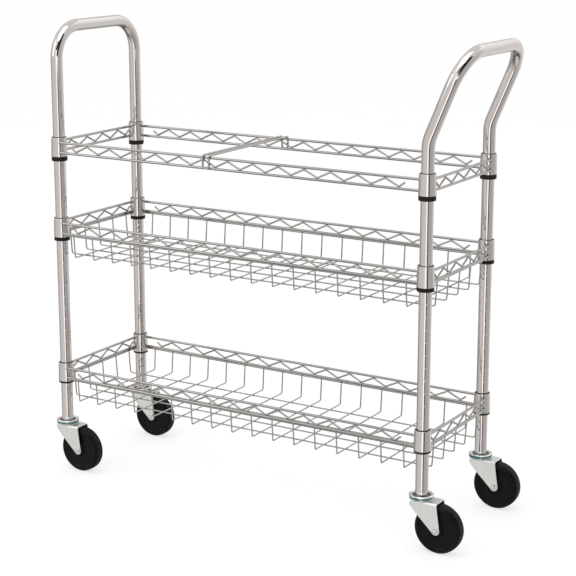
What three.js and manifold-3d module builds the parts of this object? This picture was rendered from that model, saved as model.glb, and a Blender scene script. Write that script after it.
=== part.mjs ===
// Mobile file cart: a chrome wire cart with a hanging-file frame over two wire baskets, two push handles and
// four swivel casters. Millimetres, +Z up, +X towards the handle that leans out, floor at Z = 0.
import * as THREE from 'three';
import { mergeVertices } from 'three/addons/utils/BufferGeometryUtils.js';
import ManifoldModule from 'manifold-3d';

// Overall layout
const POST_SPACING_X = 889;
const POST_SPACING_Y = 278;
const LEFT_HANDLE_TOP = 1003;
const RIGHT_HANDLE_TOP = 995;

// Tubes of the posts and handles
const TUBE_DIAMETER = 25.4;
const TUBE_WALL = 1.2;
const TUBE_SIDES = 12;
const HANDLE_BEND = 69;
const HANDLE_LEAN = THREE.MathUtils.degToRad(23);
const HANDLE_KINK_HEIGHT = 814;
const HANDLE_KINK_BEND = 70;
const JOINER_LENGTH = 70;
const POST_TOP_ABOVE_COLLAR = 24;

// Gaps that the pieces keep where they meet
const SEAT_GAP = 0.3;
const PLUG_GAP = 0.35;

// Shelf corners: a tapered collar on a tapered split sleeve, whose lower rim shows as a black ring
const SHELVES = [
  { name: 'lower', collarBottom: 205, ring: 4, basket: true },
  { name: 'middle', collarBottom: 534, ring: 8, basket: true },
  { name: 'upper', collarBottom: 712, ring: 9.5, basket: false },
];
const COLLAR_HEIGHT = 42;
const COLLAR_WALL = 2;
const COLLAR_TAPER = 1;
const SLEEVE_TOP_WALL = 1.3;
const SLEEVE_RIM_WALL = 4.2;
const SLEEVE_ABOVE_COLLAR = 1;

// Truss rails on all four sides of each shelf
const RAIL_DIAMETER = 5.5;
const RAIL_RISE = 22;
const RAIL_ABOVE_COLLAR_BOTTOM = 9.5;
const RAIL_OUTSIDE_POST = 11;
const RIM_WIRE = 3;
const ZIGZAG_DIAMETER = 4;
const LONG_HALF_PERIOD = 30;
const SHORT_HALF_PERIOD = 28;
const PATTERN_END_CLEARANCE = 26;
const STUB_RISE = 9;
const WELD_DEPTH = 0.6;

// Hanging wire baskets
const BASKET_WIRE = 3;
const BASKET_DEPTH = 53;
const BASKET_TAPER = 8;
const BASKET_PITCH = 50.8;

// Crossbar that the file hangers hook over, lying across the upper rails
const CROSSBAR_X = -50;
const CROSSBAR_WIRE = 4.5;
const CROSSBAR_WIDTH = 15;
const CROSSBAR_DROP = 27;
const CROSSBAR_BEND = 6;
const CROSSBAR_SEAM = 0.4;
const CROSSBAR_SIDES = 5;
const CROSSBAR_BEND_STEPS = 3;

// Casters
const WHEEL_DIAMETER = 100;
const WHEEL_WIDTH = 28;
const WHEEL_HUB_WIDTH = 32;
const WHEEL_SIDES = 18;
const HUB_BOSS_RADIUS = 13;
const WEB_RECESS = 3;
const TYRE_DEPTH = 13;
const TYRE_SHOULDER = 5;
const CASTER_TRAIL = 40;
const FORK_PLATE = 2.5;
const FORK_OVER_WHEEL = 3;
const FORK_FRONT = 17;
const FORK_BACK = 41;
const FORK_BOSS = 9;
const FORK_FRONT_LIP = 9;
const RACE_RADIUS = 25;
const RACE_CHAMFER = 2;
const RACE_CROWN = 4;
const LOWER_RACE_HEIGHT = 5;
const UPPER_RACE_HEIGHT = 9.6;
const KINGPIN_RADIUS = 6;
const KINGPIN_HEAD_RADIUS = 9;
const KINGPIN_HEAD_HEIGHT = 3;
const STEM_LENGTH = 40;
const SOCKET_LENGTH = 45;
const AXLE_RADIUS = 4;
const AXLE_HEAD_RADIUS = 6.5;
const AXLE_HEAD_HEIGHT = 2.5;

// Sizes that follow from the ones above
const tubeRadius = TUBE_DIAMETER / 2;
const tubeBore = tubeRadius - TUBE_WALL;
const sleeveBore = tubeRadius + SEAT_GAP;
const sleeveTopRadius = sleeveBore + SLEEVE_TOP_WALL;
const sleeveRimRadius = sleeveBore + SLEEVE_RIM_WALL;
const collarBoreTop = sleeveTopRadius + SEAT_GAP;
const collarBoreBottom = collarBoreTop + COLLAR_TAPER;
const collarTopRadius = collarBoreTop + COLLAR_WALL;
const collarBottomRadius = collarBoreBottom + COLLAR_WALL;
const railRadius = RAIL_DIAMETER / 2;
const halfX = POST_SPACING_X / 2;
const halfY = POST_SPACING_Y / 2;
const railX = halfX + RAIL_OUTSIDE_POST;
const railY = halfY + RAIL_OUTSIDE_POST;
const crossWireTop = -BASKET_DEPTH + BASKET_WIRE / 2;
const lengthWireTop = crossWireTop - BASKET_WIRE + WELD_DEPTH;
const wheelRadius = WHEEL_DIAMETER / 2;
const forkUnderside = WHEEL_DIAMETER + FORK_OVER_WHEEL;
const forkTop = forkUnderside + FORK_PLATE;
const forkInside = Math.max(WHEEL_WIDTH, WHEEL_HUB_WIDTH) / 2 + SEAT_GAP;
const forkOutside = forkInside + FORK_PLATE;
const lowerRaceTop = forkTop + LOWER_RACE_HEIGHT;
const upperRaceBottom = lowerRaceTop + SEAT_GAP;
const upperRaceTop = upperRaceBottom + UPPER_RACE_HEIGHT;
const postBottom = upperRaceTop + SEAT_GAP;
const upperShelf = SHELVES[SHELVES.length - 1];
const postTop = upperShelf.collarBottom + POST_TOP_ABOVE_COLLAR;
const handleBottom = postTop + SEAT_GAP;

const CORNERS = [
  { name: 'front_left', x: -halfX, y: -halfY },
  { name: 'front_right', x: halfX, y: -halfY },
  { name: 'back_left', x: -halfX, y: halfY },
  { name: 'back_right', x: halfX, y: halfY },
];

const chrome = new THREE.MeshStandardMaterial({ color: 0xc9c5bf, roughness: 0.18, metalness: 1 });
const zinc = new THREE.MeshStandardMaterial({ color: 0xc6cbcc, roughness: 0.35, metalness: 1 });
const blackPlastic = new THREE.MeshStandardMaterial({ color: 0x17171a, roughness: 0.5, metalness: 0 });
const greyNylon = new THREE.MeshStandardMaterial({ color: 0x8c8f92, roughness: 0.6, metalness: 0 });
const blackRubber = new THREE.MeshStandardMaterial({ color: 0x121214, roughness: 0.45, metalness: 0 });

const wasm = await ManifoldModule();
wasm.setup();

// A clean closed solid from any three.js geometry, with its faces out
function closed(geometry) {
  const bare = geometry.clone();
  bare.deleteAttribute('normal');
  bare.deleteAttribute('uv');
  const welded = mergeVertices(bare, 1e-4);
  const index = welded.index.array;
  const position = welded.attributes.position;
  const corners = [new THREE.Vector3(), new THREE.Vector3(), new THREE.Vector3()];
  const kept = [];
  let volume = 0;
  for (let i = 0; i < index.length; i += 3) {
    const [a, b, c] = [index[i], index[i + 1], index[i + 2]];
    if (a === b || b === c || c === a) continue;
    [a, b, c].forEach((vertex, k) => corners[k].fromBufferAttribute(position, vertex));
    volume += corners[0].dot(corners[1].clone().cross(corners[2])) / 6;
    kept.push(a, b, c);
  }
  if (volume < 0) kept.reverse();
  welded.setIndex(kept);
  return welded;
}

function toSolid(geometry) {
  const welded = closed(geometry);
  const vertProperties = new Float32Array(welded.attributes.position.array);
  const triVerts = new Uint32Array(welded.index.array);
  return new wasm.Manifold(new wasm.Mesh({ numProp: 3, vertProperties, triVerts }));
}

function toGeometry(solid) {
  const mesh = solid.getMesh();
  const geometry = new THREE.BufferGeometry();
  geometry.setAttribute('position', new THREE.BufferAttribute(new Float32Array(mesh.vertProperties), 3));
  geometry.setIndex(Array.from(mesh.triVerts));
  return geometry;
}

const cart = new THREE.Group();

function addPart(name, geometry, material, x = 0, y = 0, z = 0) {
  const welded = closed(geometry);
  welded.computeVertexNormals();
  const mesh = new THREE.Mesh(welded, material);
  mesh.name = name;
  mesh.position.set(x, y, z);
  cart.add(mesh);
}

// A turned piece about the Z axis, from [radius, height] points
function turned(profile, sides = TUBE_SIDES) {
  const points = profile.map(([radius, height]) => new THREE.Vector2(radius, height));
  return new THREE.LatheGeometry(points, sides).rotateX(Math.PI / 2);
}

function polygon(radius, sides) {
  const points = [];
  for (let i = 0; i < sides; i += 1) {
    const angle = (2 * Math.PI * i) / sides;
    points.push(new THREE.Vector2(radius * Math.cos(angle), radius * Math.sin(angle)));
  }
  return points;
}

// A path along corner points, each inner corner rounded to its own radius in its own number of steps
class RoundedPath extends THREE.Curve {
  constructor(corners, radii, steps) {
    super();
    const last = corners.length - 1;
    this.points = [corners[0]];
    this.tangents = [corners[1].clone().sub(corners[0]).normalize()];
    for (let i = 1; i < last; i += 1) {
      this.addBend(corners[i - 1], corners[i], corners[i + 1], radii[i - 1], steps[i - 1]);
    }
    this.points.push(corners[last]);
    this.tangents.push(corners[last].clone().sub(corners[last - 1]).normalize());
    this.steps = this.points.length - 1;
  }

  addBend(before, corner, after, radius, steps) {
    const arriving = corner.clone().sub(before).normalize();
    const leaving = after.clone().sub(corner).normalize();
    const turn = arriving.angleTo(leaving);
    const inward = leaving.clone().addScaledVector(arriving, -arriving.dot(leaving)).normalize();
    const start = corner.clone().addScaledVector(arriving, -radius * Math.tan(turn / 2));
    const centre = start.clone().addScaledVector(inward, radius);
    for (let i = 0; i <= steps; i += 1) {
      const angle = (turn * i) / steps;
      const point = centre.clone().addScaledVector(inward, -radius * Math.cos(angle));
      this.points.push(point.addScaledVector(arriving, radius * Math.sin(angle)));
      const tangent = arriving.clone().multiplyScalar(Math.cos(angle));
      this.tangents.push(tangent.addScaledVector(inward, Math.sin(angle)));
    }
  }

  getPointAt(u) {
    return this.points[Math.round(u * this.steps)].clone();
  }

  getTangentAt(u) {
    return this.tangents[Math.round(u * this.steps)].clone();
  }
}

function bentTube(path, radius, sides, bore = 0) {
  const section = new THREE.Shape(polygon(radius, sides));
  if (bore > 0) {
    section.holes.push(new THREE.Path(polygon(bore, sides).reverse()));
  }
  return new THREE.ExtrudeGeometry(section, { steps: path.steps, extrudePath: path, bevelEnabled: false });
}

// Posts, the plugs that join them to the handles, and the sockets for the caster stems
function addPosts() {
  const tube = [
    [tubeBore, postBottom],
    [tubeRadius, postBottom],
    [tubeRadius, postTop],
    [tubeBore, postTop],
    [tubeBore, postBottom],
  ];
  const plugRadius = tubeBore - PLUG_GAP;
  const plugBottom = postTop - JOINER_LENGTH / 2;
  const plug = [
    [0, plugBottom],
    [plugRadius, plugBottom],
    [plugRadius, plugBottom + JOINER_LENGTH],
    [0, plugBottom + JOINER_LENGTH],
  ];
  const socketBore = KINGPIN_RADIUS + SEAT_GAP;
  const socketTop = postBottom + SOCKET_LENGTH;
  const socket = [
    [socketBore, postBottom],
    [plugRadius, postBottom],
    [plugRadius, socketTop],
    [socketBore, socketTop],
    [socketBore, postBottom],
  ];
  for (const corner of CORNERS) {
    addPart(`post_${corner.name}`, turned(tube), chrome, corner.x, corner.y);
    addPart(`joiner_plug_${corner.name}`, turned(plug), zinc, corner.x, corner.y);
    addPart(`stem_socket_${corner.name}`, turned(socket), greyNylon, corner.x, corner.y);
  }
}

function addHandles() {
  const leftTop = LEFT_HANDLE_TOP - tubeRadius;
  const upright = [
    new THREE.Vector3(0, -halfY, handleBottom),
    new THREE.Vector3(0, -halfY, leftTop),
    new THREE.Vector3(0, halfY, leftTop),
    new THREE.Vector3(0, halfY, handleBottom),
  ];
  const straight = new RoundedPath(upright, [HANDLE_BEND, HANDLE_BEND], [5, 5]);
  addPart('handle_left', bentTube(straight, tubeRadius, TUBE_SIDES, tubeBore), chrome, -halfX);

  const rightTop = RIGHT_HANDLE_TOP - tubeRadius;
  const reach = (rightTop - HANDLE_KINK_HEIGHT) * Math.tan(HANDLE_LEAN);
  const leaning = [
    new THREE.Vector3(0, -halfY, handleBottom),
    new THREE.Vector3(0, -halfY, HANDLE_KINK_HEIGHT),
    new THREE.Vector3(reach, -halfY, rightTop),
    new THREE.Vector3(reach, halfY, rightTop),
    new THREE.Vector3(0, halfY, HANDLE_KINK_HEIGHT),
    new THREE.Vector3(0, halfY, handleBottom),
  ];
  const bends = [HANDLE_KINK_BEND, HANDLE_BEND, HANDLE_BEND, HANDLE_KINK_BEND];
  const leaned = new RoundedPath(leaning, bends, [2, 5, 5, 2]);
  addPart('handle_right', bentTube(leaned, tubeRadius, TUBE_SIDES, tubeBore), chrome, halfX);
}

// Tapered split sleeves: each is a pair of halves that snaps on the post, drawn as one ring
function addSleeves() {
  for (const shelf of SHELVES) {
    const bottom = shelf.collarBottom - shelf.ring;
    const shoulder = shelf.collarBottom - SEAT_GAP;
    const collarTop = shelf.collarBottom + COLLAR_HEIGHT;
    const taperAbove = (SLEEVE_ABOVE_COLLAR * COLLAR_TAPER) / COLLAR_HEIGHT;
    const profile = [
      [sleeveBore, bottom],
      [sleeveRimRadius, bottom],
      [sleeveRimRadius, shoulder],
      [collarBoreBottom - SEAT_GAP, shoulder],
      [sleeveTopRadius - taperAbove, collarTop + SLEEVE_ABOVE_COLLAR],
      [sleeveBore, collarTop + SLEEVE_ABOVE_COLLAR],
      [sleeveBore, bottom],
    ];
    for (const corner of CORNERS) {
      addPart(`sleeve_${shelf.name}_${corner.name}`, turned(profile), blackPlastic, corner.x, corner.y);
    }
  }
}

// The length along a side that its repeated wires may take up between the two posts
function patternLength(postSpacing) {
  return postSpacing - 2 * PATTERN_END_CLEARANCE;
}

// The zigzag wire between the rails in the side's own plane: along, then up from the bottom rail's centre
// line. It runs from valley to valley, as many as fit between the posts, and ends in a free stub at each end.
function zigzagShape(postSpacing, halfPeriod) {
  const halfPeriods = 2 * Math.floor(patternLength(postSpacing) / (2 * halfPeriod));
  const endValley = (halfPeriod * halfPeriods) / 2;
  const stubRun = (halfPeriod * STUB_RISE) / RAIL_RISE;
  const centre = [[-endValley - stubRun, STUB_RISE]];
  for (let i = 0; i <= halfPeriods; i += 1) {
    centre.push([-endValley + i * halfPeriod, i % 2 === 0 ? 0 : RAIL_RISE]);
  }
  centre.push([endValley + stubRun, STUB_RISE]);
  const slope = Math.hypot(halfPeriod, RAIL_RISE) / halfPeriod;
  const halfWire = (ZIGZAG_DIAMETER / 2) * slope;
  const above = centre.map(([along, up]) => new THREE.Vector2(along, up + halfWire));
  const below = centre.map(([along, up]) => new THREE.Vector2(along, up - halfWire)).reverse();
  return new THREE.Shape([...below, ...above]);
}

// A straight wire of the basket wall, leaning in from the rail to its foot at the end of a floor wire
function wallWire(place, foot) {
  const wire = new THREE.BoxGeometry(BASKET_WIRE, -foot, BASKET_WIRE).translate(place, foot / 2, 0);
  const position = wire.attributes.position;
  for (let i = 0; i < position.count; i += 1) {
    if (position.getY(i) < foot / 2) {
      position.setZ(i, position.getZ(i) + BASKET_TAPER);
    }
  }
  return wire;
}

// Side of a shelf: two rails, the zigzag between them and, on a basket, its wall wires, all welded. A
// basket's rim wire is welded along under the bottom rail, so the two are one bar here.
function sideSolid(length, halfPeriod, wallPlaces, foot, along, inward) {
  const topRail = new THREE.BoxGeometry(length, RAIL_DIAMETER, RAIL_DIAMETER);
  const rim = wallPlaces.length > 0 ? RIM_WIRE : 0;
  const bottomRail = new THREE.BoxGeometry(length, RAIL_DIAMETER + rim, RAIL_DIAMETER);
  const zigzag = zigzagShape(length, halfPeriod);
  const zigzagWire = new THREE.ExtrudeGeometry(zigzag, { depth: ZIGZAG_DIAMETER, bevelEnabled: false });
  const pieces = [
    topRail.translate(0, RAIL_RISE, 0),
    bottomRail.translate(0, -rim / 2, 0),
    zigzagWire.translate(0, 0, -ZIGZAG_DIAMETER / 2),
    ...wallPlaces.map((place) => wallWire(place, foot)),
  ];
  const upright = new THREE.Matrix4().makeBasis(along, new THREE.Vector3(0, 0, 1), inward);
  return wasm.Manifold.union(pieces.map((piece) => toSolid(piece.applyMatrix4(upright))));
}

function wirePlaces(postSpacing) {
  const count = Math.floor(patternLength(postSpacing) / BASKET_PITCH) + 1;
  return Array.from({ length: count }, (_, i) => (i - (count - 1) / 2) * BASKET_PITCH);
}

function collarGeometry(extra = 0) {
  return turned([
    [0, -extra],
    [collarBottomRadius + extra, -extra],
    [collarTopRadius + extra, COLLAR_HEIGHT + extra],
    [0, COLLAR_HEIGHT + extra],
  ]);
}

function collarBore() {
  const slope = COLLAR_TAPER / COLLAR_HEIGHT;
  return turned([
    [0, -1],
    [collarBoreBottom + slope, -1],
    [collarBoreTop - slope, COLLAR_HEIGHT + 1],
    [0, COLLAR_HEIGHT + 1],
  ]);
}

// End sides are welded up with the two corner collars, and the long sides end at the collars' flanks
function addSides() {
  const acrossX = new THREE.Vector3(1, 0, 0);
  const acrossY = new THREE.Vector3(0, 1, 0);
  const crossFoot = crossWireTop - BASKET_WIRE;
  const lengthFoot = lengthWireTop - BASKET_WIRE;
  const keepClear = toSolid(collarGeometry(SEAT_GAP));
  const collar = toSolid(collarGeometry());
  const bore = toSolid(collarBore());
  for (const shelf of SHELVES) {
    const railHeight = shelf.collarBottom + RAIL_ABOVE_COLLAR_BOTTOM;
    const longWires = shelf.basket ? wirePlaces(POST_SPACING_X) : [];
    const endWires = shelf.basket ? wirePlaces(POST_SPACING_Y) : [];
    for (const [name, sign] of [['front', -1], ['back', 1]]) {
      const inward = acrossY.clone().multiplyScalar(-sign);
      let side = sideSolid(POST_SPACING_X, LONG_HALF_PERIOD, longWires, crossFoot, acrossX, inward);
      for (const end of [-1, 1]) {
        const flank = [end * halfX, -sign * RAIL_OUTSIDE_POST, -RAIL_ABOVE_COLLAR_BOTTOM];
        side = side.subtract(keepClear.translate(flank));
      }
      addPart(`${shelf.name}_side_${name}`, toGeometry(side), chrome, 0, sign * railY, railHeight);
    }
    for (const [name, sign] of [['left', -1], ['right', 1]]) {
      const inward = acrossX.clone().multiplyScalar(-sign);
      let side = sideSolid(POST_SPACING_Y, SHORT_HALF_PERIOD, endWires, lengthFoot, acrossY, inward);
      for (const end of [-1, 1]) {
        const place = [-sign * RAIL_OUTSIDE_POST, end * halfY, -RAIL_ABOVE_COLLAR_BOTTOM];
        side = side.add(collar.translate(place)).subtract(bore.translate(place));
      }
      addPart(`${shelf.name}_side_${name}`, toGeometry(side), chrome, sign * railX, 0, railHeight);
    }
  }
}

// Basket floor: cross wires lying on lengthwise wires, welded where they cross. Their ends stop at the feet of
// the wall wires, so that nothing stands on the floor's top.
function addFloors() {
  const footInset = BASKET_TAPER + BASKET_WIRE / 2 + SEAT_GAP;
  const reachX = railX - footInset;
  const reachY = railY - footInset;
  const crossWires = wirePlaces(POST_SPACING_X).map((x) => {
    const wire = new THREE.BoxGeometry(BASKET_WIRE, 2 * reachY, BASKET_WIRE);
    return wire.translate(x, 0, crossWireTop - BASKET_WIRE / 2);
  });
  const lengthWires = wirePlaces(POST_SPACING_Y).map((y) => {
    const wire = new THREE.BoxGeometry(2 * reachX, BASKET_WIRE, BASKET_WIRE);
    return wire.translate(0, y, lengthWireTop - BASKET_WIRE / 2);
  });
  const grid = toGeometry(wasm.Manifold.union([...crossWires, ...lengthWires].map(toSolid)));
  for (const shelf of SHELVES.filter((each) => each.basket)) {
    const railHeight = shelf.collarBottom + RAIL_ABOVE_COLLAR_BOTTOM;
    addPart(`${shelf.name}_basket_floor`, grid, chrome, 0, 0, railHeight);
  }
}

// Crossbar: one wire bent into a long narrow loop whose two ends hook down over the upper long rails
function addCrossbar() {
  const wire = CROSSBAR_WIRE / 2;
  const railTop = upperShelf.collarBottom + RAIL_ABOVE_COLLAR_BOTTOM + RAIL_RISE + railRadius;
  const barHeight = railTop + SEAT_GAP + wire;
  const hookY = railY + railRadius + SEAT_GAP + wire;
  const side = CROSSBAR_WIDTH / 2;
  const low = barHeight - CROSSBAR_DROP;
  const corners = [
    [side, CROSSBAR_SEAM / 2, barHeight],
    [side, hookY, barHeight],
    [side, hookY, low],
    [-side, hookY, low],
    [-side, hookY, barHeight],
    [-side, -hookY, barHeight],
    [-side, -hookY, low],
    [side, -hookY, low],
    [side, -hookY, barHeight],
    [side, -CROSSBAR_SEAM / 2, barHeight],
  ].map(([x, y, z]) => new THREE.Vector3(x, y, z));
  const tight = wire + SEAT_GAP;
  const bends = [tight, CROSSBAR_BEND, CROSSBAR_BEND, tight, tight, CROSSBAR_BEND, CROSSBAR_BEND, tight];
  const loop = new RoundedPath(corners, bends, bends.map(() => CROSSBAR_BEND_STEPS));
  addPart('file_crossbar', bentTube(loop, wire, CROSSBAR_SIDES), chrome, CROSSBAR_X);
}

// Casters, trailing towards +X at rest
function forkGeometry() {
  const boss = [];
  for (let degrees = 10; degrees >= -150; degrees -= 32) {
    const angle = THREE.MathUtils.degToRad(degrees);
    boss.push([CASTER_TRAIL + FORK_BOSS * Math.cos(angle), wheelRadius + FORK_BOSS * Math.sin(angle)]);
  }
  const outline = [
    [-FORK_FRONT, forkTop],
    [FORK_BACK, forkTop],
    ...boss,
    [-FORK_FRONT, forkUnderside - FORK_FRONT_LIP],
  ];
  const leg = new THREE.Shape(outline.map(([x, z]) => new THREE.Vector2(x, z)));
  const plate = new THREE.ExtrudeGeometry(leg, { depth: FORK_PLATE, bevelEnabled: false });
  plate.rotateX(Math.PI / 2);
  const roofLength = FORK_FRONT + FORK_BACK;
  const roof = new THREE.BoxGeometry(roofLength, 2 * forkOutside, FORK_PLATE);
  roof.translate((FORK_BACK - FORK_FRONT) / 2, 0, forkTop - FORK_PLATE / 2);
  const race = turned([
    [0, forkTop - FORK_PLATE / 2],
    [RACE_RADIUS - RACE_CHAMFER, forkTop - FORK_PLATE / 2],
    [RACE_RADIUS, lowerRaceTop - RACE_CHAMFER],
    [RACE_RADIUS - RACE_CHAMFER, lowerRaceTop],
    [0, lowerRaceTop],
  ]);
  const pinRadius = KINGPIN_RADIUS + SEAT_GAP;
  const pinHole = turned([
    [0, forkUnderside - 2],
    [pinRadius, forkUnderside - 2],
    [pinRadius, lowerRaceTop + 1],
    [0, lowerRaceTop + 1],
  ]);
  const axleBore = AXLE_RADIUS + SEAT_GAP;
  const axleHole = new THREE.CylinderGeometry(axleBore, axleBore, 3 * forkOutside, TUBE_SIDES);
  axleHole.translate(CASTER_TRAIL, 0, wheelRadius);
  const nearLeg = toSolid(plate.clone().translate(0, -forkInside, 0));
  const farLeg = toSolid(plate.clone().translate(0, forkOutside, 0));
  const body = nearLeg.add(farLeg).add(toSolid(roof)).add(toSolid(race));
  return toGeometry(body.subtract(toSolid(pinHole)).subtract(toSolid(axleHole)));
}

function wheelGeometry() {
  const bore = AXLE_RADIUS + SEAT_GAP;
  const hub = WHEEL_HUB_WIDTH / 2;
  const half = WHEEL_WIDTH / 2;
  const nearSide = [
    [bore, -hub],
    [HUB_BOSS_RADIUS, -hub],
    [HUB_BOSS_RADIUS, -half + WEB_RECESS],
    [wheelRadius - TYRE_DEPTH, -half + WEB_RECESS],
    [wheelRadius - TYRE_SHOULDER, -half],
    [wheelRadius, -half + TYRE_SHOULDER],
  ];
  const farSide = nearSide.map(([radius, across]) => [radius, -across]).reverse();
  const profile = [...nearSide, ...farSide, nearSide[0]];
  return new THREE.LatheGeometry(profile.map(([r, y]) => new THREE.Vector2(r, y)), WHEEL_SIDES);
}

function axleGeometry() {
  const inside = forkOutside + SEAT_GAP;
  const outside = inside + AXLE_HEAD_HEIGHT;
  const profile = [
    [0, -outside],
    [AXLE_HEAD_RADIUS, -outside],
    [AXLE_HEAD_RADIUS, -inside],
    [AXLE_RADIUS, -inside],
    [AXLE_RADIUS, inside],
    [AXLE_HEAD_RADIUS, inside],
    [AXLE_HEAD_RADIUS, outside],
    [0, outside],
  ];
  return new THREE.LatheGeometry(profile.map(([r, y]) => new THREE.Vector2(r, y)), TUBE_SIDES);
}

function addCasters() {
  const headTop = forkUnderside - SEAT_GAP;
  const headBottom = headTop - KINGPIN_HEAD_HEIGHT;
  const stemTop = postBottom + STEM_LENGTH;
  const stem = turned([
    [0, headBottom],
    [KINGPIN_HEAD_RADIUS, headBottom],
    [KINGPIN_HEAD_RADIUS, headTop],
    [KINGPIN_RADIUS, headTop],
    [KINGPIN_RADIUS, upperRaceBottom],
    [RACE_RADIUS - RACE_CHAMFER, upperRaceBottom],
    [RACE_RADIUS, upperRaceBottom + RACE_CHAMFER],
    [RACE_RADIUS, upperRaceTop - RACE_CROWN],
    [RACE_RADIUS - RACE_CROWN, upperRaceTop],
    [KINGPIN_RADIUS, upperRaceTop],
    [KINGPIN_RADIUS, stemTop],
    [0, stemTop],
  ]);
  const fork = forkGeometry();
  const wheel = wheelGeometry();
  const axle = axleGeometry();
  for (const corner of CORNERS) {
    const wheelX = corner.x + CASTER_TRAIL;
    addPart(`caster_stem_${corner.name}`, stem, zinc, corner.x, corner.y);
    addPart(`caster_fork_${corner.name}`, fork, zinc, corner.x, corner.y);
    addPart(`caster_axle_${corner.name}`, axle, zinc, wheelX, corner.y, wheelRadius);
    addPart(`caster_wheel_${corner.name}`, wheel, blackRubber, wheelX, corner.y, wheelRadius);
  }
}

addPosts();
addHandles();
addSleeves();
addSides();
addFloors();
addCrossbar();
addCasters();

// The origin is the centre of the cart's outline on the floor
const outline = new THREE.Box3().setFromObject(cart);
cart.position.set(-(outline.min.x + outline.max.x) / 2, -(outline.min.y + outline.max.y) / 2, -outline.min.z);

export default cart;
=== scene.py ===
"""Mobile file cart: chrome tube and wire frame, two wire baskets, two push handles and four swivel casters.

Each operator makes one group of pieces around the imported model, in metres and in the model's own frame.
"""
import math

import bmesh
import bpy
from bpy.props import FloatProperty, FloatVectorProperty, IntProperty, PointerProperty
from mathutils import Matrix, Vector


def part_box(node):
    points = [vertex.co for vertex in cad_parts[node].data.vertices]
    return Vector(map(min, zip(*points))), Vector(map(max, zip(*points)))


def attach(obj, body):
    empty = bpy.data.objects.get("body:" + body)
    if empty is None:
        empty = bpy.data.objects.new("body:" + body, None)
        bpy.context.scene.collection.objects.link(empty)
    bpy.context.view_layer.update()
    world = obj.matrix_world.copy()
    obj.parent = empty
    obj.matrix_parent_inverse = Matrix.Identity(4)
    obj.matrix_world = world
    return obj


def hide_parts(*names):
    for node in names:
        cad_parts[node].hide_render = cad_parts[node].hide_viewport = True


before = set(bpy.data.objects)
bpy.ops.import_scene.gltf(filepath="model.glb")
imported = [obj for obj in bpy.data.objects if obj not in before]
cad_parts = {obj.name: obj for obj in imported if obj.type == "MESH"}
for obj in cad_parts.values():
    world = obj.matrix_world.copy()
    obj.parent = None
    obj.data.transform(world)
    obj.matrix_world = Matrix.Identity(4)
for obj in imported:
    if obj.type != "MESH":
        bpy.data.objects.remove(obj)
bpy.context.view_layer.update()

bl_info = {
    "name": "Mobile file cart",
    "version": (1, 0, 0),
    "blender": (4, 5, 0),
    "location": "View3D > Sidebar > File cart",
    "description": "Builds the finished pieces of a chrome wire file cart around its construction model",
    "category": "Object",
}

MM = 0.001
CORNERS = ("front_left", "front_right", "back_left", "back_right")
LEVELS = ("lower", "middle", "upper")
BASKET_LEVELS = ("lower", "middle")
SIDES = ("front", "back", "left", "right")
# Edges that turn by more than this stay sharp, on most pieces and on the grooved posts
EDGE_ANGLE = math.radians(38)
GROOVE_ANGLE = math.radians(6)
# Edges of a cut sheet that turn by more than this are rounded
BEVEL_ANGLE = math.radians(35)
# Faces along a bend
TUBE_BEND_STEPS = 10
WIRE_BEND_STEPS = 5
WHITE = (1.0, 1.0, 1.0, 1.0)


def post_axis(corner):
    """Where a post stands on the floor."""
    low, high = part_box(f"post_{corner}")
    return Vector(((low.x + high.x) / 2, (low.y + high.y) / 2, 0.0))


POST_LOW, POST_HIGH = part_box("post_front_left")
TUBE_RADIUS = (POST_HIGH.x - POST_LOW.x) / 2
WHEEL_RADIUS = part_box("caster_wheel_front_left")[1].z / 2
CART_MIDDLE = (post_axis("front_left") + post_axis("back_right")) / 2


# Sizes and colours that a user may change

def length(name, description, default):
    """A size in metres."""
    return FloatProperty(name=name, description=description, default=default, unit="LENGTH")


def rotation(name, description, degrees):
    """An angle, given here in degrees."""
    return FloatProperty(name=name, description=description, default=math.radians(degrees), unit="ROTATION")


def tint(name, description, default):
    """A colour."""
    return FloatVectorProperty(
        name=name, description=description, default=default, subtype="COLOR", size=3, min=0.0, max=1.0)


class CartTubes(bpy.types.PropertyGroup):
    diameter: length("Tube diameter", "Outside diameter of the posts and handles", 2 * TUBE_RADIUS)
    wall: length("Tube wall", "Wall thickness of the posts and handles", 1.2 * MM)
    bend: length("Handle bend", "Radius of the handle bends along the tube's middle", 69 * MM)
    kink_height: length("Kink height", "Height at which the leaning handle leaves the upright", 814 * MM)
    groove_pitch: length("Groove pitch", "Distance between the height grooves of a post", 25.4 * MM)
    groove_depth: length("Groove depth", "Depth of a height groove", 0.14 * MM)
    groove_width: length("Groove width", "Width of a height groove", 1.8 * MM)
    steps: IntProperty(name="Tube steps", description="Faces around a tube", default=48, min=12)
    post_steps: IntProperty(name="Post steps", description="Faces around a grooved post", default=96, min=12)


class CartCorners(bpy.types.PropertyGroup):
    collar_height: length("Collar height", "Height of a shelf's corner collar", 42 * MM)
    collar_wall: length("Collar wall", "Wall thickness of a collar", 2 * MM)
    collar_edge: length("Collar edge", "Rounding of a collar's edges", 0.7 * MM)
    collar_taper: length("Collar taper", "How much a collar's radius shrinks towards its top", 1 * MM)
    sleeve_wall: length("Sleeve wall", "Wall of a split sleeve at the top of its collar", 1.3 * MM)
    sleeve_above: length("Sleeve above collar", "How far a sleeve stands out above its collar", 1 * MM)
    sleeve_rim: length("Sleeve rim", "Wall of a sleeve's rim under its collar", 4.2 * MM)
    sleeve_rib: length("Sleeve rib", "Wanted height of one rib on a sleeve's rim", 3 * MM)
    split_turn: rotation("Split turn", "Where a sleeve's first split lies round its post", 20)
    sleeve_split: length("Sleeve split", "Gap between the two halves of a sleeve", 0.9 * MM)
    seat_gap: length("Seat gap", "Gap between pieces that seat on each other", 0.3 * MM)


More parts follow.
